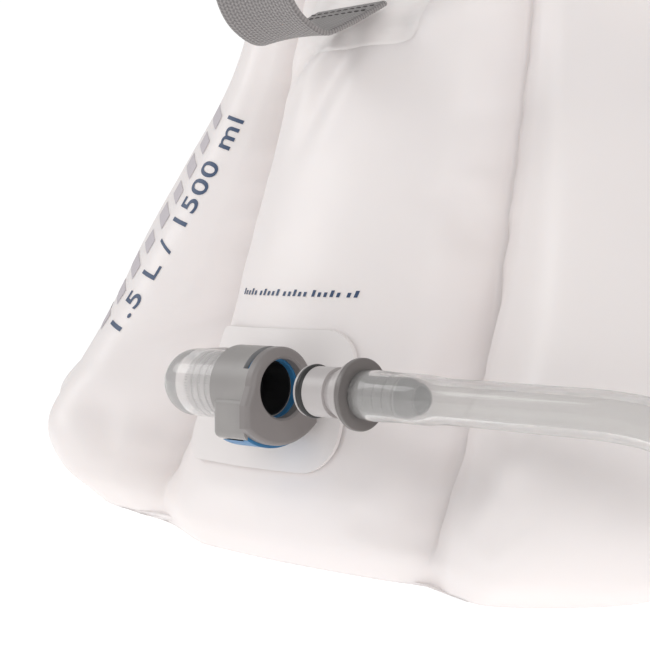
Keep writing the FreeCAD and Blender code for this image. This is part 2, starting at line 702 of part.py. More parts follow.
keep("hose_coil", cut("hose_coil", coil_outer, coil_inner))
tie_low = "coil_centre_x - tie_width / 2"
tie_high = "coil_centre_x + tie_width / 2"
tie_outer = box("tie_outer", tie_low, tie_high,
                COIL_Y + " + coil_radius - hose_radius - tie_wall - 1.4",
                COIL_Y + " + coil_radius + hose_radius + tie_wall + 0.3",
                "0", "4 * hose_radius + 2 * tie_wall + 0.3")
tie_inner = box("tie_inner", tie_low, tie_high,
                COIL_Y + " + coil_radius - hose_radius - 1.4",
                COIL_Y + " + coil_radius + hose_radius + 0.3",
                "tie_wall", "4 * hose_radius + tie_wall + 0.3")
keep("hose_tie", cut("hose_tie", tie_outer, tie_inner))

# ------------------------------------------------------------------ bite valve

keep("bite_valve_body", turned_body("bite_valve_body", [
    ("-8", "bite_bore"), ("-8", "3.3"), ("-6", "3.6"), ("0", "3.6"), ("0", "bite_body_radius"),
    ("2", "bite_body_radius"), ("2", "bite_body_radius - 0.6"),
    ("2.4 + shutoff_length", "bite_body_radius - 0.6"), ("2.4 + shutoff_length", "bite_body_radius"),
    ("bite_body_length", "bite_body_radius"), ("bite_body_length", "bite_bore"),
], "bite_start", AXIS_Y, "valve_axis_height"))
shutoff_turned = turned_body("shutoff_turned", [
    ("0", "bite_body_radius + 0.1"), ("0", "shutoff_radius - 0.6"), ("0.6", "shutoff_radius"),
    ("shutoff_length - 0.6", "shutoff_radius"), ("shutoff_length", "shutoff_radius - 0.6"),
    ("shutoff_length", "bite_body_radius + 0.1"),
], "bite_start + 2.2", AXIS_Y, "valve_axis_height")
shutoff_tab = box("shutoff_tab", "bite_start + 5", "bite_start + 11", AXIS_Y + " - 1.2", AXIS_Y + " + 1.2",
                  "valve_axis_height + shutoff_radius - 1", "valve_axis_height + shutoff_radius + 3")
keep("shutoff_ring", fuse("shutoff_ring", shutoff_turned, shutoff_tab))
keep("bite_sheath", turned_body("bite_sheath", [
    ("0", "bite_body_radius"), ("0", "sheath_radius - 0.8"), ("1.2", "sheath_radius"),
    ("15.6", "sheath_radius - 0.6"), ("19", "sheath_radius - 2.2"), ("25", "sheath_radius - 1.2"),
    ("sheath_length - 2", "sheath_radius - 0.8"), ("sheath_length", "sheath_radius - 2.4"),
    ("sheath_length", "0"), ("sheath_length - 2.4", "0"), ("sheath_length - 2.4", "sheath_radius - 4.4"),
    ("bite_body_length - shutoff_length - 2.8", "sheath_radius - 4.4"),
    ("bite_body_length - shutoff_length - 2.8", "bite_body_radius"),
], "bite_start + 2.8 + shutoff_length", AXIS_Y, "valve_axis_height"))

# ------------------------------------------------------------------ mouth

MOUTH_Y = "(mouth_front + mouth_back) / 2"
keep("mouth_rail_front", box("mouth_rail_front", "-rail_length / 2", "rail_length / 2",
                             MOUTH_Y + " - rail_wall", MOUTH_Y, "bag_height", "bag_height + rail_height"))
keep("mouth_rail_rear", box("mouth_rail_rear", "-rail_length / 2", "rail_length / 2",
                            MOUTH_Y, MOUTH_Y + " + rail_wall", "bag_height", "bag_height + rail_height"))
clip_block = box("clip_block", "-rail_length / 2", "rail_length / 2 + clip_gap + clip_wall",
                 MOUTH_Y + " - rail_wall - clip_gap - clip_wall",
                 MOUTH_Y + " + rail_wall + clip_gap + clip_wall",
                 "bag_height - clip_gap - clip_lip", "bag_height + rail_height + clip_gap + clip_wall")
clip_channel = box("clip_channel", "-rail_length / 2 - 1", "rail_length / 2 + clip_gap",
                   MOUTH_Y + " - rail_wall - clip_gap", MOUTH_Y + " + rail_wall + clip_gap",
                   "bag_height - clip_gap", "bag_height + rail_height + clip_gap")
clip_slot = box("clip_slot", "-rail_length / 2 - 1", "rail_length / 2 + clip_gap",
                "mouth_front - 2 * clip_gap", "mouth_back + 2 * clip_gap",
                "bag_height - clip_gap - clip_lip - 1", "bag_height")
keep("slide_clip", cut("slide_clip", clip_block, clip_channel, clip_slot))

# ------------------------------------------------------------------ webbing


def webbing(name, edges, width):
    """Webbing that follows edges drawn in the (y, z) plane, thickened to one side."""
    outline = Part.Wire(edges).makeOffset2D(size("web_wall"), 0, True, True)
    band = outline.Faces[0].extrude(V(width, 0, 0))
    band.translate(V(-width / 2, 0, 0))
    return solid(name, band)


STRAP_ROOT_GAP = 0.9


def arc(first, middle, last):
    return Part.Arc(V(0, *first), V(0, *middle), V(0, *last)).toShape()


def line(first, last):
    return Part.makeLine(V(0, *first), V(0, *last))


low_y = size("low_front") - 0.4 - STRAP_ROOT_GAP
high_y = size("high_front") - 0.4 - STRAP_ROOT_GAP
low_z = size("strap_low")
high_z = size("strap_high")
reach = -size("strap_reach")
keep("hand_strap", webbing("hand_strap", [
    line((low_y, low_z), (low_y - 14, low_z - 6.6)),
    arc((low_y - 14, low_z - 6.6), (reach * 0.74, low_z - 5), (reach * 0.97, low_z + 9)),
    arc((reach * 0.97, low_z + 9), (reach, low_z + 25), (reach * 0.8, low_z + 42)),
    line((reach * 0.8, low_z + 42), (high_y, high_z)),
], size("hand_strap_width")))
for patch_name, patch_z in (("strap_patch_low", low_z), ("strap_patch_high", high_z)):
    keep(patch_name, rounded_patch(patch_name, size("strap_patch_width"), size("strap_patch_height"),
                                   5.0, 0.0, patch_z, True))
loop_y = size("loop_back") + 0.4 + size("web_wall")
loop_z = size("hang_loop_root")
loop_top = size("hang_loop_height") - 4.0 - size("web_wall")
rear_y = value(MOUTH_Y + " + rail_wall + clip_gap + clip_wall") + 2.2
keep("hang_loop", webbing("hang_loop", [
    line((loop_y, loop_z), (rear_y, size("bag_height") - 6)),
    line((rear_y, size("bag_height") - 6), (rear_y, loop_top)),
    arc((rear_y, loop_top), (rear_y + 4, loop_top + 4), (rear_y + 8, loop_top)),
    line((rear_y + 8, loop_top), (rear_y + 8, size("bag_height"))),
    line((rear_y + 8, size("bag_height")), (loop_y + 2.4 * size("web_wall"), loop_z)),
], size("hang_loop_width")))
keep("hang_patch", rounded_patch("hang_patch", 36.0, 18.0, 5.0, 0.0, loop_z, False))

# ------------------------------------------------------------------ check and write

doc.recompute()
faults = [item.Name for item in doc.Objects if {"Invalid", "Error"} & set(item.State)]
for name, item in nodes.items():
    shape = item.Shape
    if shape.isNull() or not shape.isValid() or not shape.Solids:
        faults.append(name)
if faults:
    raise RuntimeError("these did not build: " + ", ".join(faults))
os.makedirs("parts", exist_ok=True)
for name, item in nodes.items():
    item.Shape.exportStep(os.path.join("parts", name + ".step"))
    print("%-18s %9.1f mm3, %d solid" % (name, item.Shape.Volume, len(item.Shape.Solids)))
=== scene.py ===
import math

import bmesh
import bpy
from mathutils import Matrix, Vector, noise
from mathutils.bvhtree import BVHTree


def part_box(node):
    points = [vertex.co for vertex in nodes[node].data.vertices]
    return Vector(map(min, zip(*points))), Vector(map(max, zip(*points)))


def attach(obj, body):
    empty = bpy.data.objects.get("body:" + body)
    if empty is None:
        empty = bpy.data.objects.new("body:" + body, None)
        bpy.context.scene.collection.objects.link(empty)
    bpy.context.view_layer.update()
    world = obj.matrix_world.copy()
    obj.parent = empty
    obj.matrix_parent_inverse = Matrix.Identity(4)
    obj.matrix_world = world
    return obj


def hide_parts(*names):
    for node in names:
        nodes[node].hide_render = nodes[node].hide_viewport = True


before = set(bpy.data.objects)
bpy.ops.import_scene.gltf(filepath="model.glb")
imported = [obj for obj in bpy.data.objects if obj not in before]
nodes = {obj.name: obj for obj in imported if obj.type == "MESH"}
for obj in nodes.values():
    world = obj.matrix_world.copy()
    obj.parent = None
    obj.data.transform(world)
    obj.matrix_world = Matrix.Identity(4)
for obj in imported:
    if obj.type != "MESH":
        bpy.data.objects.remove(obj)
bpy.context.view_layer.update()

MM = 0.001

# The connector's axis runs along X through the plug; everything near it is placed from that line.
plug_low, plug_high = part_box("plug_body")
socket_low, socket_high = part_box("socket_body")
AXIS_Y = 0.5 * (plug_low[1] + plug_high[1])
AXIS_Z = 0.5 * (plug_low[2] + plug_high[2])
SOCKET_BACK = socket_low[0]
SOCKET_FACE = socket_high[0]
film_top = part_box("front_film")[1][2]

# ------------------------------------------------------------------ camera

camera_data = bpy.data.cameras.new("camera")
camera_data.sensor_width = 36.0
camera_data.lens = 83.1
camera = bpy.data.objects.new("camera", camera_data)
bpy.context.collection.objects.link(camera)
camera.location = Vector((SOCKET_FACE + 0.2437, AXIS_Y - 0.2307, AXIS_Z + 0.0255))
CAMERA_DIP = math.radians(1.92)
camera.rotation_euler = (math.pi / 2 - CAMERA_DIP, 0.0, math.radians(45.0))
bpy.context.scene.camera = camera

# ------------------------------------------------------------------ helpers


def link(name, mesh):
    piece = bpy.data.objects.new(name, mesh)
    bpy.context.collection.objects.link(piece)
    return piece


def smooth(piece):
    for face in piece.data.polygons:
        face.use_smooth = True
    return piece


def finish_mesh(name, bm, material, flat=False):
    """Turns a bmesh into a linked piece with outward normals and one material."""
    bmesh.ops.remove_doubles(bm, verts=bm.verts, dist=1e-6)
    bmesh.ops.recalc_face_normals(bm, faces=bm.faces)
    mesh = bpy.data.meshes.new(name)
    bm.to_mesh(mesh)
    bm.free()
    mesh.materials.append(material)
    piece = link(name, mesh)
    return piece if flat else smooth(piece)


def baked(piece):
    """The piece with its modifiers applied, as a plain mesh."""
    depsgraph = bpy.context.evaluated_depsgraph_get()
    mesh = bpy.data.meshes.new_from_object(piece.evaluated_get(depsgraph), depsgraph=depsgraph)
    piece.modifiers.clear()
    old = piece.data
    piece.data = mesh
    bpy.data.meshes.remove(old)
    return piece


def step(edge0, edge1, x):
    """0 below edge0, 1 above edge1, smooth between."""
    t = min(max((x - edge0) / (edge1 - edge0), 0.0), 1.0)
    return t * t * (3 - 2 * t)


# ------------------------------------------------------------------ shader maths


class Value:
    """A shader socket that can be added, scaled and compared in plain Python."""

    def __init__(self, mat, socket):
        self.mat = mat
        self.socket = socket

    def _math(self, operation, *others):
        return self.mat.node("ShaderNodeMath", {"operation": operation}, (self,) + others)

    def __add__(self, other):
        return self._math("ADD", other)

    def __sub__(self, other):
        return self._math("SUBTRACT", other)

    def __mul__(self, other):
        return self._math("MULTIPLY", other)

    def __truediv__(self, other):
        return self._math("DIVIDE", other)

    def __rsub__(self, other):
        return self.mat.node("ShaderNodeMath", {"operation": "SUBTRACT"}, (other, self))

    __radd__ = __add__
    __rmul__ = __mul__

    def __gt__(self, other):
        return self._math("GREATER_THAN", other)

    def __lt__(self, other):
        return self._math("LESS_THAN", other)

    def __abs__(self):
        return self._math("ABSOLUTE")

    def __pow__(self, other):
        return self._math("POWER", other)

    def sin(self):
        return self._math("SINE")

    def ramp(self, low, high):
        """0 below low, 1 above high."""
        return self.mat.node("ShaderNodeMapRange", {"interpolation_type": "SMOOTHSTEP"},
                             (self, low, high, 0.0, 1.0))


class Material:
    """A Principled material and the nodes that feed it."""

    def __init__(self, name, **constants):
        self.data = bpy.data.materials.new(name)
        self.data.use_nodes = True
        self.tree = self.data.node_tree
        self.shader = self.tree.nodes["Principled BSDF"]
        for word, value in constants.items():
            self.set(word.replace("_", " "), value)

    def set(self, socket, value):
        target = self.shader.inputs[socket]
        if isinstance(value, Value):
            self.tree.links.new(value.socket, target)
        elif isinstance(value, tuple) and len(value) == 3 and len(target.default_value) == 4:
            target.default_value = value + (1.0,)
        else:
            target.default_value = value

    def node(self, kind, settings, inputs=(), output=0):
        item = self.tree.nodes.new(kind)
        for word, value in settings.items():
            setattr(item, word, value)
        targets = inputs.items() if isinstance(inputs, dict) else enumerate(inputs)
        for key, value in targets:
            if isinstance(value, Value):
                self.tree.links.new(value.socket, item.inputs[key])
            elif value is not None:
                item.inputs[key].default_value = value
        return Value(self, item.outputs[output])

    def place(self, output="Object"):
        return self.node("ShaderNodeTexCoord", {}, (), output)

    def axes(self, vector):
        item = self.tree.nodes.new("ShaderNodeSeparateXYZ")
        self.tree.links.new(vector.socket, item.inputs[0])
        return [Value(self, out) for out in item.outputs]

    def noise(self, vector, scale, detail=2.0, rough=0.5):
        return self.node("ShaderNodeTexNoise", {}, {"Vector": vector, "Scale": scale, "Detail": detail,
                                                    "Roughness": rough})

    def mix(self, factor, first, second):
        item = self.tree.nodes.new("ShaderNodeMix")
        item.data_type = "RGBA"
        for key, value in ((0, factor), (6, first), (7, second)):
            if isinstance(value, Value):
                self.tree.links.new(value.socket, item.inputs[key])
            else:
                item.inputs[key].default_value = value if key == 0 else value + (1.0,)
        return Value(self, item.outputs[2])

    def second_shader(self, factor, colour, roughness):
        """A milky finish where factor is 1, over the first one."""
        milky = self.tree.nodes.new("ShaderNodeBsdfPrincipled")
        milky.inputs["Base Color"].default_value = colour + (1.0,)
        milky.inputs["Roughness"].default_value = roughness
        mixer = self.tree.nodes.new("ShaderNodeMixShader")
        self.tree.links.new(factor.socket, mixer.inputs[0])
        self.tree.links.new(self.shader.outputs[0], mixer.inputs[1])
        self.tree.links.new(milky.outputs[0], mixer.inputs[2])
        self.tree.links.new(mixer.outputs[0], self.tree.nodes["Material Output"].inputs["Surface"])

    def bump(self, height, strength, distance):
        self.set("Normal", self.node("ShaderNodeBump", {}, {"Strength": strength, "Distance": distance,
                                                            "Height": height}))


def moulded(name, colour, darker, roughness, grain=900.0, **more):
    """Moulded plastic: a faint cloudy tone, fine surface grain, a little gloss variation."""
    mat = Material(name, IOR=1.46, **more)
    here = mat.place()
    cloud = mat.noise(here, 60.0, 3.0)
    fine = mat.noise(here, grain, 4.0, 0.6)
    mat.set("Base Color", mat.mix(cloud.ramp(0.3, 0.7), colour, darker))
    mat.set("Roughness", fine * 0.12 + (roughness - 0.06))
    mat.bump(fine, 0.12, 0.0001)
    return mat


def tinted(mat, factor, colour):
    """Another colour where factor is 1."""
    base = Value(mat, mat.shader.inputs["Base Color"].links[0].from_socket)
    mat.set("Base Color", mat.mix(factor, base, colour))


# ------------------------------------------------------------------ materials

film = Material("milky_film", Roughness=0.4, IOR=1.48)
here = film.place()
film_cloud = film.noise(here, 22.0, 3.0)
film_fine = film.noise(here, 240.0, 3.0)
film.set("Base Color", film.mix(film_cloud.ramp(0.3, 0.7), (0.865, 0.812, 0.798), (0.845, 0.797, 0.788)))
film.set("Roughness", film_fine * 0.12 + 0.36)
film.set("Subsurface Weight", 0.25)
film.set("Subsurface Radius", (0.010, 0.009, 0.008))
film.set("Subsurface Scale", 1.0)
film.bump(film_fine, 0.03, 0.0002)

SLEEVE_REACH = 8.3 * MM
clear = Material("clear_moulding", Roughness=0.1, IOR=1.3)
clear.set("Base Color", (0.985, 0.97, 0.965))
clear.set("Transmission Weight", 0.74)
clear.bump(clear.noise(clear.place(), 300.0), 0.05, 0.0002)
flange_depth = clear.axes(clear.place())[1]
clear.second_shader(flange_depth > AXIS_Y + SLEEVE_REACH, (0.815, 0.772, 0.76), 0.34)

patch_film = Material("weld_patch", Roughness=0.3, IOR=1.45)
patch_film.set("Base Color", patch_film.mix(patch_film.noise(patch_film.place(), 90.0).ramp(0.3, 0.7),
                                            (0.86, 0.815, 0.80), (0.84, 0.80, 0.79)))
patch_film.set("Subsurface Weight", 0.25)
patch_film.set("Subsurface Radius", (0.006, 0.005, 0.005))
patch_film.bump(patch_film.noise(patch_film.place(), 900.0), 0.06, 0.0001)

# The front plate is darker than the collar; the bore behind it is painted near-black as shade.
FRONT_PLATE = 11.95 * MM
BORE_RADIUS = 6.4 * MM
BORE_DEPTH = 3.0 * MM
socket_grey = moulded("socket_grey", (0.33, 0.312, 0.302), (0.29, 0.275, 0.268), 0.42)
offset_x, offset_y, offset_z = socket_grey.axes(socket_grey.place())
from_axis = (offset_y - AXIS_Y) ** 2.0 + (offset_z - AXIS_Z) ** 2.0
tinted(socket_grey, offset_x > SOCKET_BACK + FRONT_PLATE, (0.225, 0.205, 0.20))
bore_shade_mask = (from_axis < BORE_RADIUS ** 2) * (offset_x < SOCKET_FACE - BORE_DEPTH)
tinted(socket_grey, bore_shade_mask, (0.012, 0.012, 0.013))

# Lengths back from the end of the plug's tube barbs.
FLANGE_BACK = 18.6 * MM
FLANGE_FRONT = 16.9 * MM
NOSE_CONE = 4.5 * MM
plug_grey = moulded("plug_grey", (0.52, 0.49, 0.48), (0.46, 0.43, 0.425), 0.36)
plug_x = plug_grey.axes(plug_grey.place())[0]
# The plug's tube side is painted dark as shade: the flange's face toward the tube, the hub and barbs under
# the hose a little lighter, the nose cone inside the hose darkest.
tinted(plug_grey, plug_x > plug_high[0] - FLANGE_BACK, (0.165, 0.15, 0.145))
tinted(plug_grey, plug_x > plug_high[0] - FLANGE_FRONT, (0.27, 0.255, 0.25))
tinted(plug_grey, plug_x > plug_high[0] - NOSE_CONE, (0.12, 0.11, 0.11))
latch_blue = moulded("latch_blue", (0.045, 0.21, 0.42), (0.04, 0.18, 0.37), 0.4)
valve_black = moulded("valve_black", (0.014, 0.014, 0.015), (0.02, 0.02, 0.021), 0.5)
seal_black = moulded("seal_rubber", (0.015, 0.015, 0.016), (0.024, 0.023, 0.023), 0.36)
rail_white = moulded("rail_white", (0.80, 0.79, 0.78), (0.74, 0.73, 0.72), 0.45)
clip_grey = moulded("clip_grey", (0.30, 0.285, 0.28), (0.26, 0.25, 0.245), 0.42)
silicone = moulded("mouth_silicone", (0.60, 0.62, 0.64), (0.55, 0.57, 0.60), 0.5)
tail_clear = moulded("tail_clear", (0.62, 0.59, 0.58), (0.50, 0.475, 0.465), 0.25)

spring_steel = Material("spring_steel", Metallic=1.0)
steel_noise = spring_steel.noise(spring_steel.place(), 2000.0)
spring_steel.set("Base Color", spring_steel.mix(steel_noise, (0.6, 0.6, 0.61), (0.5, 0.5, 0.52)))
spring_steel.set("Roughness", steel_noise * 0.1 + 0.25)

hose_clear = Material("hose_clear", Roughness=0.06, IOR=1.33)
hose_clear.set("Base Color", (0.88, 0.87, 0.86))
hose_clear.set("Transmission Weight", 0.8)
hose_clear.bump(hose_clear.noise(hose_clear.place(), 120.0), 0.02, 0.0002)

navy = Material("navy_ink", Roughness=0.45)
navy.set("Base Color", navy.mix(navy.noise(navy.place(), 1500.0), (0.022, 0.052, 0.12),
                                (0.035, 0.07, 0.15)))
pale_ink = Material("pale_ink", Roughness=0.45)
pale_ink.set("Base Color", pale_ink.mix(pale_ink.noise(pale_ink.place(), 1500.0), (0.52, 0.48, 0.51),
                                        (0.57, 0.53, 0.56)))

# Webbing follows the strap's own map: U along it in metres, V across it.
WEB_RIB = 0.0011
webbing = Material("woven_webbing", Roughness=0.62)
along, across, _ = webbing.axes(webbing.place("UV"))
warp = (across * (2 * math.pi / WEB_RIB)).sin()
weft = (along * (2 * math.pi / (0.8 * WEB_RIB)) + (across * (math.pi / WEB_RIB)).sin() * 1.6).sin()
weave = warp * 0.5 + weft * 0.5
thread = webbing.noise(webbing.place("UV"), 1800.0, 3.0)
webbing.set("Base Color", webbing.mix(weave.ramp(-0.8, 0.9), (0.16, 0.147, 0.147), (0.31, 0.287, 0.282)))
webbing.set("Roughness", thread * 0.2 + 0.5)
webbing.set("Sheen Weight", 0.3)
webbing.bump(weave + thread * 0.4, 0.55, 0.0003)

# ------------------------------------------------------------------ hose

HOSE_RADIUS = 4.75 * MM
coil_low, coil_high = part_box("hose_coil")
LIFT = coil_low[2]
COIL_X = 0.5 * (coil_low[0] + coil_high[0])
COIL_Y = 0.5 * (coil_low[1] + coil_high[1])
COIL_RADIUS = 0.5 * (coil_high[0] - coil_low[0]) - HOSE_RADIUS
HOSE_ROUTE = [
    (0.0444, -0.0415, 0.0440),
    (0.0840, -0.0411, 0.0438),
    (0.1220, -0.0420, 0.0436),
    (0.1570, -0.0412, 0.0266),
    (0.1940, -0.0416, 0.0062),
    (0.2220, -0.0415, 0.00595),
]
TAIL_ROUTE = [
    (0.2220, -0.0415, 0.01545),
    (0.2480, -0.0421, 0.01385),
    (0.2720, -0.0415, 0.0092),
]
COIL_TURNS = 2
COIL_STEPS = 24
CLIMB = math.radians(75.0)


def coil_points():
    """The turns lie on each other; each climbs one hose width just before it passes its start."""
    points = []
    turn_angle = 2 * math.pi / COIL_STEPS
    reach = COIL_RADIUS / math.cos(turn_angle / 2)
    for number in range(1, COIL_TURNS * COIL_STEPS):
        angle = number * turn_angle
        turn = int(angle / (2 * math.pi))
        climb = step(2 * math.pi - CLIMB, 2 * math.pi, angle - turn * 2 * math.pi)
        height = LIFT + HOSE_RADIUS * (1 + 2 * (turn + climb))
        points.append((COIL_X + reach * math.sin(angle), COIL_Y - reach * math.cos(angle), height))
    return points


def route_points(name, points):
    """Points along the smooth line that a route's control points give."""
    curve = bpy.data.curves.new(name, "CURVE")
    curve.dimensions = "3D"
    curve.resolution_u = 24
    spline = curve.splines.new("NURBS")
    spline.points.add(len(points) - 1)
    for target, point in zip(spline.points, points):
        target.co = tuple(point) + (1.0,)
    spline.use_endpoint_u = True
    spline.order_u = 3
    holder = link(name, curve)
    depsgraph = bpy.context.evaluated_depsgraph_get()
    mesh = bpy.data.meshes.new_from_object(holder.evaluated_get(depsgraph), depsgraph=depsgraph)
    path = [vertex.co.copy() for vertex in mesh.vertices]
    bpy.data.objects.remove(holder)
    bpy.data.meshes.remove(mesh)
    return path


def tube_mesh(name, path, outer, inner, material, segments=24):
    """A hollow tube along a path; outer and inner give the radius at a distance along it."""
    bm = bmesh.new()
    distance = 0.0
    up = Vector((0, 0, 1))
    rings = []
    for number, point in enumerate(path):
        ahead = path[min(number + 1, len(path) - 1)] - path[max(number - 1, 0)]
        ahead.normalize()
        up = (up - ahead * up.dot(ahead)).normalized()
        side = ahead.cross(up)
        if number:
            distance += (point - path[number - 1]).length
        ring = []
        for radius in (outer(distance), inner(distance)):
            ring.append([bm.verts.new(point + (up * math.cos(a) + side * math.sin(a)) * radius)
                         for a in (2 * math.pi * k / segments for k in range(segments))])
        rings.append(ring)
    for first, second in zip(rings, rings[1:]):
        for wall in (0, 1):
            for k in range(segments):
                n = (k + 1) % segments
                bm.faces.new((first[wall][k], first[wall][n], second[wall][n], second[wall][k]))
    for ring in (rings[0], rings[-1]):
        for k in range(segments):
            n = (k + 1) % segments
            bm.faces.new((ring[0][k], ring[0][n], ring[1][n], ring[1][k]))
    return finish_mesh(name, bm, material)


def line_length(path):
    return sum((b - a).length for a, b in zip(path, path[1:]))


# The tube swells over the plug's barbs; rings stay close together along that first stretch.
BARB_REACH = 0.0172
BARB_PITCH = 0.0026
BARB_SWELL = 0.00062
BARB_RIPPLE = 0.00014
BORE_SWELL = 0.00118
HOSE_BORE = 0.0032
FINE_STRETCH = 32
hose_fine = route_points("hose_route", HOSE_ROUTE + coil_points() + TAIL_ROUTE)
hose_path = hose_fine[:FINE_STRETCH] + hose_fine[FINE_STRETCH:-1:4] + hose_fine[-1:]


def hose_outer(distance):
    swell = 1.0 - step(BARB_REACH - 0.001, BARB_REACH + 0.006, distance)
    ripple = BARB_RIPPLE * math.sin(2 * math.pi * distance / BARB_PITCH) * swell
    return HOSE_RADIUS + BARB_SWELL * swell + ripple


def hose_inner(distance):
    swell = 1.0 - step(BARB_REACH - 0.003, BARB_REACH + 0.004, distance)
    return HOSE_BORE + BORE_SWELL * swell


hose = tube_mesh("drinking_hose", hose_path, hose_outer, hose_inner, hose_clear.data)
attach(hose, "hose")
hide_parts("hose_tube", "hose_coil", "hose_tail")

# ------------------------------------------------------------------ bag

# Height, half width, side, front centre, valley, lobe, back, and how far out the baffle weld runs, in mm.
STATIONS = [
    (0, 88, 2, -24.5, -21.5, -27, 32, 46),
    (8, 104, -1, -30.5, -24, -34, 36.5, 47),
    (22, 115, -4, -31.5, -17, -33, 38, 46.5),
    (44, 110.5, 3, -27, -5, -22.5, 38, 44.5),
    (67, 103, 11, -19.5, 3, -10, 38, 43),
    (100, 88, 22, -8.5, 12, 5, 38, 41),
    (130, 74, 30, 0.5, 19, 16.5, 38, 39.5),
    (160, 69, 33.5, 10, 25, 24, 38, 38),
    (190, 71, 34, 20.5, 29.5, 29, 38, 36),
    (210, 74, 34.5, 29.5, 32, 31.8, 37.4, 35),
    (220, 75, 34.5, 33, 33, 33, 36, 34),
    (228, 75, 34.5, 33, 33, 33, 36, 34),
]
BAG_HEIGHT = film_top / MM
BAG_ROWS = 150


def hermite(before, first, second, after, t, gaps=(1.0, 1.0, 1.0)):
    """Cubic through first and second, with slopes from their neighbours."""
    slope_first = (second - before) / (gaps[0] + gaps[1]) * gaps[1]
    slope_second = (after - first) / (gaps[1] + gaps[2]) * gaps[1]
    return (first * (2 * t ** 3 - 3 * t * t + 1) + slope_first * (t ** 3 - 2 * t * t + t)
            + second * (3 * t * t - 2 * t ** 3) + slope_second * (t ** 3 - t * t))


def station(height):
    """The bag's measures at a height, smooth between the stations."""
    heights = [row[0] for row in STATIONS]
    k = max(i for i in range(len(STATIONS) - 1) if heights[i] <= max(height, 0.0))
    rows = [STATIONS[max(min(k + d, len(STATIONS) - 1), 0)] for d in (-1, 0, 1, 2)]
    t = (height - heights[k]) / (heights[k + 1] - heights[k])
    gaps = [max(b[0] - a[0], 1.0) for a, b in zip(rows, rows[1:])]
    return [hermite(*(row[c] for row in rows), t, gaps) for c in range(1, 8)]


def section_corners(height):
    """The right half's corners from the back's middle to the front's middle."""
    half, side, front, valley, lobe, back, weld = station(height)
    return [
        (0.0, back),
        (0.55 * half, back),
        (0.88 * half, 0.75 * back + 0.25 * side),
        (half, side),
        (0.93 * half, 0.45 * side + 0.55 * lobe),
        (0.5 * (weld + half), lobe),
        (weld + 0.22 * (half - weld), 0.65 * lobe + 0.35 * valley),
        (weld, valley),
        (0.72 * weld, 0.45 * valley + 0.55 * front),
        (0.38 * weld, 0.1 * valley + 0.9 * front),
        (0.0, front),
    ]


# Across the right half, how many steps each span between corners gets.
SPAN_STEPS = (8, 6, 5, 6, 8, 9, 12, 12, 12, 12)


def section(height):
    """A whole section as (x, y, position); position runs 0 to 20 from the back's middle, right side first."""
    right = section_corners(height)
    loop = right + [(-x, y) for x, y in reversed(right[1:-1])]
    count = len(loop)
    steps = SPAN_STEPS + tuple(reversed(SPAN_STEPS))
    points = []
    for k in range(count):
        corners = [Vector(loop[(k + d) % count]) for d in (-1, 0, 1, 2)]
        gaps = [max((b - a).length, 1e-3) ** 0.8 for a, b in zip(corners, corners[1:])]
        for n in range(steps[k]):
            t = n / steps[k]
            x, y = hermite(*corners, t, gaps)
            points.append((x, y, k + t))
    return points


def lower_lift(x, z):
    """The left lobe's lower edge rises outward; the right one stays down."""
    lift = 0.0
    for (x0, z0), (x1, z1) in zip(LEFT_EDGE, LEFT_EDGE[1:]):
        if x1 <= x <= x0:
            lift = z0 + (z1 - z0) * (x0 - x) / (x0 - x1)
    return lift * (1 - step(0, 62, z)) if x < 0 else 0.0


LEFT_EDGE = [(0, 0), (-30, 0.4), (-45, 3.5), (-58, 6.5), (-85, 11.5), (-100, 14), (-116, 17)]


def ridge(distance, width):
    return math.exp(-(distance / width) ** 2)


def weld_x(z):
    return station(min(max(z, 0), BAG_HEIGHT))[6]


# Folds that fan out from the hand strap's lower root: start, end (x, z), depth and width, in mm.
FOLDS = [
    ((-4, 134), (-34, 118), 1.6, 3.0),
    ((2, 132), (-16, 96), 0.9, 4.5),
    ((12, 133), (38, 150), 1.3, 3.6),
    ((10, 130), (30, 106), 0.8, 5.0),
    ((-14, 140), (-38, 158), 1.1, 4.0),
    ((30, 92), (44, 68), 0.8, 3.2),
    ((46, 66), (36, 30), 1.2, 3.4),
    ((-44, 62), (-66, 48), 1.0, 3.6),
    ((-50, 26), (-88, 30), 0.9, 5.0),
    ((50, 30), (84, 22), 0.9, 5.5),
    ((0, 12), (-30, 6), 0.5, 4.0),
    ((26, 14), (52, 9), 0.7, 4.0),
    ((-60, 14), (-72, 34), 0.8, 3.4),
    ((70, 12), (86, 34), 0.8, 4.2),
    ((18, 200), (10, 168), 1.2, 4.0),
    ((-18, 202), (-9, 170), 1.2, 4.0),
]


port_low, port_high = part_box("port_elbow")
PORT_MIDDLE = 0.5 * (port_low[0] + port_high[0]) / MM


def fold_depth(x, z):
    depth = 0.0
    for (x0, z0), (x1, z1), height, width in FOLDS:
        run = Vector((x1 - x0, z1 - z0))
        at = Vector((x - x0, z - z0))
        t = min(max(at.dot(run) / run.length_squared, 0.0), 1.0)
        off = (at - run * t).length
        taper = step(0.0, 0.15, t) * (1 - step(0.55, 1.0, t)) + 0.15
        depth += height * taper * ridge(off, width) - 0.5 * height * taper * ridge(off - 1.9 * width, width)
    return depth


def port_hold(x, z):
    """1 where the port's flange holds the film flat, 0 away from it."""
    across = 1 - step(31.0, 42.0, abs(x - PORT_MIDDLE))
    return across * (1 - step(18.0, 27.0, abs(z - AXIS_Z / MM)))


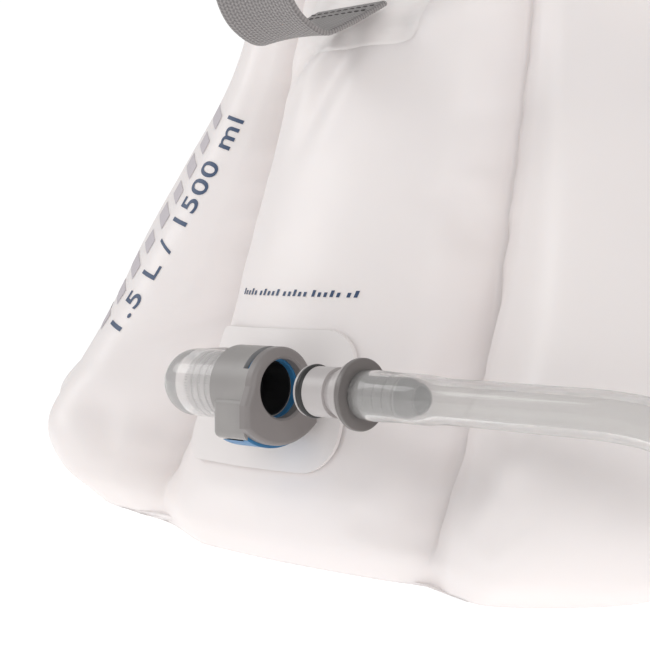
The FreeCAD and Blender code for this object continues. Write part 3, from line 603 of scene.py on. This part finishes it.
def bag_skin():
    """The whole filled skin: sections stacked from floor to mouth, with the welds' creases pressed in."""
    rows = []
    for number in range(BAG_ROWS + 1):
        z = BAG_HEIGHT * (number / BAG_ROWS) ** 1.12
        ring = []
        points = section(z)
        for x, y, where in points:
            front = step(3.0, 4.2, where) * (1 - step(15.8, 17.0, where))
            port = port_hold(x, z) * front
            calm = step(0.0, 16.0, z) * (1 - step(196.0, 224.0, z))
            weld = weld_x(z)
            crease = ridge(abs(x) - weld, 2.6) * 2.1 + ridge(abs(x) - weld, 1.1) * 0.9
            pucker = ridge(abs(x) - weld, 8.0) * noise.noise(Vector((x * 0.02, 0.0, z * 0.16))) * 1.2
            push = (crease + pucker + fold_depth(x, z)) * front * calm
            here_mm = Vector((x, y, z))
            wander = 0.9 * noise.noise(here_mm * 0.022) + 0.35 * noise.noise(here_mm * 0.06)
            corner = 10.0 * step(82.0, 108.0, -x) * step(0.0, 14.0, z) * (1 - step(60.0, 100.0, z))
            y += (push + wander * calm * (0.5 + 0.5 * front)) * (1 - port) + 0.5 * port + corner * front
            seam = (ridge(where - 3.0, 0.15) + ridge(where - 17.0, 0.15)) * step(4.0, 20.0, z)
            x += math.copysign(0.8 * seam, x)
            ring.append(Vector((x, y, z + lower_lift(x, z))) * MM)
        rows.append(ring)
    return rows


def build_bag():
    rows = bag_skin()
    bm = bmesh.new()
    rings = [[bm.verts.new(point) for point in ring] for ring in rows]
    count = len(rings[0])
    for low, high in zip(rings, rings[1:]):
        for k in range(count):
            n = (k + 1) % count
            bm.faces.new((low[k], low[n], high[n], high[k]))
    floor_middle = sum((v.co for v in rings[0]), Vector()) / count
    mouth_middle = sum((v.co for v in rings[-1]), Vector()) / count
    for ring, middle in ((rings[0], floor_middle), (rings[-1], mouth_middle)):
        inner = ring
        for share in (0.75, 0.5, 0.25):
            smaller = [bm.verts.new(middle.lerp(v.co, share)) for v in ring]
            for k in range(count):
                n = (k + 1) % count
                bm.faces.new((inner[k], inner[n], smaller[n], smaller[k]))
            inner = smaller
        pole = bm.verts.new(middle)
        for k in range(count):
            bm.faces.new((inner[k], inner[(k + 1) % count], pole))
    return finish_mesh("bag_film", bm, film.data)


bag = build_bag()
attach(bag, "bag")
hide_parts("front_film", "rear_film", "baffle_left", "baffle_right")

# ------------------------------------------------------------------ webbing

WEB_THICK = 1.5 * MM


def ribbon_path(name, points):
    """A smooth line through the middle of a strap, given as (y, z) in mm."""
    return route_points(name, [(0.0, y * MM, z * MM) for y, z in points])


def ribbon(name, path, width, curl=0.0):
    """Flat webbing along a path in the (y, z) plane: rounded selvedges, and a map in metres for the weave."""
    half, thick = width / 2, WEB_THICK / 2
    across = [-1, -0.97, -0.9, -0.7, -0.45, -0.2, 0, 0.2, 0.45, 0.7, 0.9, 0.97, 1]
    bm = bmesh.new()
    uv = bm.loops.layers.uv.new("UVMap")
    rings = []
    distance = 0.0
    for number, point in enumerate(path):
        ahead = (path[min(number + 1, len(path) - 1)] - path[max(number - 1, 0)]).normalized()
        out = Vector((0, -ahead.z, ahead.y))
        if number:
            distance += (point - path[number - 1]).length
        ring = []
        for side in (1, -1):
            for share in (across if side > 0 else across[::-1]):
                edge = math.sqrt(max(0.0, 1 - max(0.0, (abs(share) - 0.9) / 0.1) ** 2))
                bow = curl * share * share * math.sin(math.pi * number / (len(path) - 1))
                at = point + Vector((share * half, 0, 0)) + out * (side * thick * edge + bow)
                ring.append((bm.verts.new(at), distance, share * half))
        rings.append(ring)
    for first, second in zip(rings, rings[1:]):
        for k in range(len(first)):
            n = (k + 1) % len(first)
            corners = (first[k], first[n], second[n], second[k])
            face = bm.faces.new([c[0] for c in corners])
            for loop, corner in zip(face.loops, corners):
                loop[uv].uv = corner[1:]
    for ring in (rings[0], rings[-1]):
        face = bm.faces.new([c[0] for c in ring])
        for loop, corner in zip(face.loops, ring):
            loop[uv].uv = corner[1:]
    return finish_mesh(name, bm, webbing.data)


STRAP_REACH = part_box("hand_strap")[0][1] / MM + 1.5
HAND_STRAP = [(0.2, 136.0), (-7.0, 132.4), (-15.0, 128.9), (0.62 * STRAP_REACH, 126.5),
              (0.93 * STRAP_REACH, 133.0), (1.0 * STRAP_REACH, 150.0),
              (1.03 * STRAP_REACH, 164.0), (0.93 * STRAP_REACH, 178.0),
              (0.45 * STRAP_REACH, 188.0), (0.1 * STRAP_REACH, 194.0), (24.0, 203.0)]
hand_path = ribbon_path("hand_route", HAND_STRAP)
hand = ribbon("hand_webbing", hand_path, 0.025, 0.0012)
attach(hand, "bag")
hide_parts("hand_strap")

# ------------------------------------------------------------------ stitches


def stitch_tree(material):
    """Nodes that lay short thread stitches along rows of edges."""
    tree = bpy.data.node_groups.new("stitches", "GeometryNodeTree")
    faces = tree.interface
    faces.new_socket("Rows", in_out="INPUT", socket_type="NodeSocketGeometry")
    faces.new_socket("Pitch", in_out="INPUT", socket_type="NodeSocketFloat")
    faces.new_socket("Stitches", in_out="OUTPUT", socket_type="NodeSocketGeometry")

    def add(kind, settings=(), **inputs):
        item = tree.nodes.new(kind)
        for word, value in settings:
            setattr(item, word, value)
        for name, value in inputs.items():
            socket = item.inputs[name.replace("_", " ")]
            if isinstance(value, bpy.types.NodeSocket):
                tree.links.new(value, socket)
            else:
                socket.default_value = value
        return item

    rows = tree.nodes.new("NodeGroupInput")
    line = add("GeometryNodeMeshToCurve", Mesh=rows.outputs["Rows"])
    spaced = add("GeometryNodeResampleCurve", [("mode", "LENGTH")], Curve=line.outputs[0],
                 Length=rows.outputs["Pitch"])
    tangent = tree.nodes.new("GeometryNodeInputTangent")
    turn = add("FunctionNodeAlignRotationToVector", [("axis", "X")], Vector=tangent.outputs[0])
    thread = add("GeometryNodeMeshIcoSphere", Radius=0.001, Subdivisions=2)
    thin = add("GeometryNodeTransform", Geometry=thread.outputs[0], Scale=(0.85, 0.24, 0.2))
    laid = add("GeometryNodeInstanceOnPoints", Points=spaced.outputs[0], Instance=thin.outputs[0],
               Rotation=turn.outputs[0])
    whole = add("GeometryNodeRealizeInstances", Geometry=laid.outputs[0])
    coloured = add("GeometryNodeSetMaterial", Geometry=whole.outputs[0], Material=material.data)
    end = tree.nodes.new("NodeGroupOutput")
    tree.links.new(coloured.outputs[0], end.inputs["Stitches"])
    return tree


def stitched(name, rows, material, pitch=0.0021):
    points, edges = [], []
    for row in rows:
        edges += [(len(points) + k, len(points) + k + 1) for k in range(len(row) - 1)]
        points += row
    mesh = bpy.data.meshes.new(name)
    mesh.from_pydata(points, edges, [])
    piece = link(name, mesh)
    nodes_modifier = piece.modifiers.new("stitches", "NODES")
    nodes_modifier.node_group = stitch_tree(material)
    for item in nodes_modifier.node_group.interface.items_tree:
        if item.name == "Pitch":
            nodes_modifier[item.identifier] = pitch
    baked(piece)
    smooth(piece)
    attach(piece, "bag")
    return piece


def cross_row(path, distance, half, side):
    """A row across a strap at a distance along it, on its outer (1) or inner (-1) face."""
    travelled = 0.0
    for first, second in zip(path, path[1:]):
        run = (second - first).length
        if travelled + run >= distance:
            at = first.lerp(second, (distance - travelled) / run)
            ahead = (second - first).normalized()
            at += Vector((0, -ahead.z, ahead.y)) * side * (WEB_THICK / 2 + 0.00004)
            return [at + Vector((share * half, 0, 0)) for share in (-1, -0.5, 0, 0.5, 1)]
        travelled += run
    return []


thread_grey = moulded("thread_grey", (0.10, 0.095, 0.095), (0.14, 0.13, 0.13), 0.6)
hand_run = line_length(hand_path)
hand_rows = [cross_row(hand_path, at, 0.0102, side) for side in (1, -1)
             for at in (0.003, 0.0065, hand_run - 0.0065, hand_run - 0.003)]
stitched("hand_stitches", hand_rows, thread_grey)
loop_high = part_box("hang_loop")[1]
loop_rows = []
for drop in (0.0045, 0.0085):
    loop_rows.append([(share * 0.0075, loop_high[1] - 0.0001, loop_high[2] - 0.0105 - drop)
                      for share in (-1, -0.5, 0, 0.5, 1)])
stitched("loop_stitches", loop_rows, thread_grey)

# ------------------------------------------------------------------ printed marks

bpy.context.view_layer.update()
skin = BVHTree.FromObject(bag, bpy.context.evaluated_depsgraph_get())


def on_skin(x, z, lift=0.00012):
    """The point of the bag's front at (x, z), a hair above the film."""
    hit, normal, _, _ = skin.ray_cast(Vector((x, -0.3, z)), Vector((0, 1, 0)))
    return hit + normal * lift


def printed(name, flat_mesh, start, along, material):
    """Lays flat artwork, drawn in metres, on the film. Its x runs along the given direction in (x, z)."""
    along = Vector(along).normalized()
    up = Vector((-along.y, along.x))
    bm = bmesh.new()
    bm.from_mesh(flat_mesh)
    bmesh.ops.triangulate(bm, faces=bm.faces)
    for _ in range(2):
        bmesh.ops.subdivide_edges(bm, edges=[e for e in bm.edges if e.calc_length() > 0.0012], cuts=1)
        bmesh.ops.triangulate(bm, faces=bm.faces)
    for vertex in bm.verts:
        at = Vector(start) + along * vertex.co.x + up * vertex.co.y
        vertex.co = on_skin(at.x, at.y)
    mesh = bpy.data.meshes.new(name)
    bm.to_mesh(mesh)
    bm.free()
    mesh.materials.append(material.data)
    piece = link(name, mesh)
    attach(piece, "bag")
    return piece


def bars(sizes):
    """Slanted bars in a row, each (x, width, height), in metres."""
    mesh = bpy.data.meshes.new("bars")
    points, faces = [], []
    for x, width, height in sizes:
        base = len(points)
        lean = 0.22 * height
        points += [(x, 0, 0), (x + width, 0, 0), (x + width + lean, height, 0), (x + lean, height, 0)]
        faces.append((base, base + 1, base + 2, base + 3))
    mesh.from_pydata(points, [], faces)
    return mesh


def words_mesh(words, length):
    curve = bpy.data.curves.new("capacity", "FONT")
    curve.body = words
    curve.space_character = 1.12
    curve.offset = 0.012
    holder = link("capacity", curve)
    depsgraph = bpy.context.evaluated_depsgraph_get()
    mesh = bpy.data.meshes.new_from_object(holder.evaluated_get(depsgraph), depsgraph=depsgraph)
    bpy.data.objects.remove(holder)
    wide = max(v.co.x for v in mesh.vertices)
    mesh.transform(Matrix.Scale(length / wide, 4))
    return mesh


def film_patch(name, centre, width, height, corner, node):
    """A rounded patch welded on the film, following it, with a thin raised rim."""
    bm = bmesh.new()
    steps = 44
    grid = {}
    for i in range(steps + 1):
        for j in range(steps + 1):
            u, v = 2 * i / steps - 1, 2 * j / steps - 1
            bulge = 1 - (corner / max(width, height)) * (abs(u) * abs(v)) ** 4
            x, z = 0.5 * width * u * bulge, 0.5 * height * v * bulge
            rim = min(width / 2 - abs(x), height / 2 - abs(z))
            lift = 0.0003 * step(-0.0001, 0.0009, rim) - 0.00008
            grid[i, j] = bm.verts.new(on_skin(centre[0] + x, centre[1] + z, lift))
    for i in range(steps):
        for j in range(steps):
            bm.faces.new((grid[i, j], grid[i + 1, j], grid[i + 1, j + 1], grid[i, j + 1]))
    mesh = bpy.data.meshes.new(name)
    bm.to_mesh(mesh)
    bm.free()
    mesh.materials.append(patch_film.data)
    piece = smooth(link(name, mesh))
    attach(piece, "bag")
    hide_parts(node)


film_patch("strap_weld_low", (0.0, 0.136), 0.040, 0.020, 0.004, "strap_patch_low")
film_patch("strap_weld_high", (0.0, 0.203), 0.040, 0.020, 0.004, "strap_patch_high")

PRINT_START = (-0.0725, 0.052)
PRINT_ALONG = (0.020, 0.060)
printed("capacity_print", words_mesh("1.5 L / 1500 ml", 0.064), PRINT_START, PRINT_ALONG, navy)
graduations = [(0.0075 * k, 0.0042, 0.0085 if k % 2 == 0 else 0.0065) for k in range(9)]
printed("graduation_print", bars(graduations), (-0.0825, 0.054), PRINT_ALONG, pale_ink)
note_marks = [(0.0018 * k + 0.0009 * (k // 5), 0.0009, 0.0011 if k % 3 else 0.0016) for k in range(22)]
printed("note_print", bars(note_marks), (-0.0235, 0.0645), (1.0, -0.01), navy)

# ------------------------------------------------------------------ carried-over pieces

FINISHES = {
    "port_elbow": clear, "socket_body": socket_grey, "latch_plate": latch_blue, "latch_spring": spring_steel,
    "socket_tail": tail_clear, "spring_retainer": tail_clear, "valve_spring": spring_steel,
    "valve_poppet": valve_black, "valve_seal": seal_black, "plug_body": plug_grey, "plug_o_ring": seal_black,
    "mouth_rail_front": rail_white, "mouth_rail_rear": rail_white, "slide_clip": clip_grey,
    "hang_loop": webbing, "hang_patch": patch_film, "hose_tie": clip_grey,
    "bite_valve_body": clip_grey, "shutoff_ring": latch_blue, "bite_sheath": silicone,
}
for node, finish in FINISHES.items():
    piece = nodes[node]
    for slot in piece.material_slots:
        slot.link = "OBJECT"
        slot.material = finish.data

# ------------------------------------------------------------------ floor and light

floor_mesh = bpy.data.meshes.new("floor")
FLOOR = 6.0
floor_mesh.from_pydata([(-FLOOR, -FLOOR, 0), (FLOOR, -FLOOR, 0), (FLOOR, FLOOR, 0), (-FLOOR, FLOOR, 0)], [],
                       [(0, 1, 2, 3)])
floor_mat = Material("pale_floor", Roughness=0.9)
floor_mat.set("Base Color", (0.62, 0.62, 0.62))
floor_mat.set("Emission Color", (1.0, 1.0, 1.0))
floor_mat.set("Emission Strength", 0.66)
floor_mesh.materials.append(floor_mat.data)
floor = link("floor", floor_mesh)

world = bpy.data.worlds.new("studio")
world.use_nodes = True
sky = world.node_tree
backdrop = sky.nodes["Background"]
# White behind the object, softer as light on it.
backdrop.inputs["Color"].default_value = (1.0, 1.0, 1.0, 1.0)
rays = sky.nodes.new("ShaderNodeLightPath")
strength = sky.nodes.new("ShaderNodeMapRange")
strength.inputs["To Min"].default_value = 0.62
strength.inputs["To Max"].default_value = 1.05
sky.links.new(rays.outputs["Is Camera Ray"], strength.inputs["Value"])
sky.links.new(strength.outputs["Result"], backdrop.inputs["Strength"])
bpy.context.scene.world = world


def softbox(name, place, target, size, power, tint=(1.0, 1.0, 1.0)):
    data = bpy.data.lights.new(name, "AREA")
    data.shape = "RECTANGLE"
    data.size, data.size_y = size
    data.energy = power
    data.color = tint
    lamp = bpy.data.objects.new(name, data)
    bpy.context.collection.objects.link(lamp)
    lamp.location = place
    lamp.rotation_euler = (Vector(target) - Vector(place)).to_track_quat("-Z", "Y").to_euler()


softbox("key", (1.1, -0.75, 0.6), (0, -0.02, 0.08), (0.7, 0.5), 3.2)
softbox("fill", (-0.9, -0.6, 0.7), (0, -0.02, 0.08), (0.5, 0.5), 3.0)
bpy.context.scene.view_settings.view_transform = "Standard"
